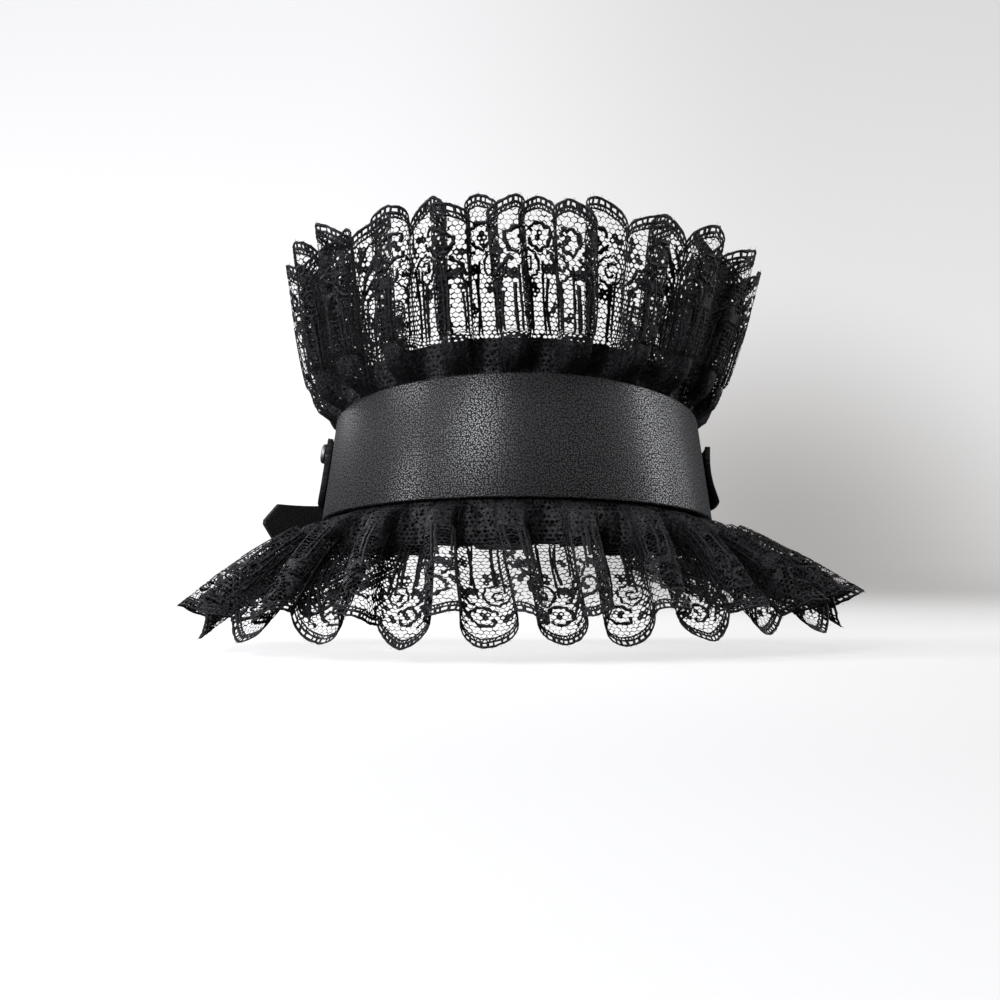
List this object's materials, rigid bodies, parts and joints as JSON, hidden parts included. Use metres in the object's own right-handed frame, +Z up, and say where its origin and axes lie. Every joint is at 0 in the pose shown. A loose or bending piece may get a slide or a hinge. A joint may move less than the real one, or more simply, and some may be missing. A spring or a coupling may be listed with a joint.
{
  "type": "lace choker",
  "caption": "Stiff leather collar choker with gathered lace ruffles above and below the band, buckled at the open front.",
  "frame": {"origin": "centre of the neck ring at the middle of the leather band's height", "axes": "+Z up along the wearer's neck, +Y towards the wearer's front and the buckle, -Y towards the nape, +X towards the wearer's right-hand side as seen from behind"},
  "size_m": [0.208, 0.1872, 0.1318],
  "materials": {
    "band": "fine pebble grain, satin charcoal black",
    "strap_left": "fine grain, satin black",
    "strap_right": "fine grain, satin black",
    "keeper": "fine grain, satin black",
    "stand": "plain matte black cloth",
    "ruffle_upper": "black floral net lace",
    "ruffle_lower": "black floral net lace",
    "buckle_frame": "polished grey metal",
    "buckle_prong": "polished grey metal",
    "rivet_left": "satin grey metal",
    "rivet_right": "satin grey metal"
  },
  "bodies": {
    "root": {"band": "band", "strap_left": "strap_left", "strap_right": "strap_right", "keeper": "keeper", "stand": "stand", "ruffle_upper": "ruffle_upper", "ruffle_lower": "ruffle_lower", "buckle_frame": "buckle_frame", "buckle_prong": "buckle_prong", "rivet_left": "rivet_left", "rivet_right": "rivet_right"}
  },
  "joints": []
}
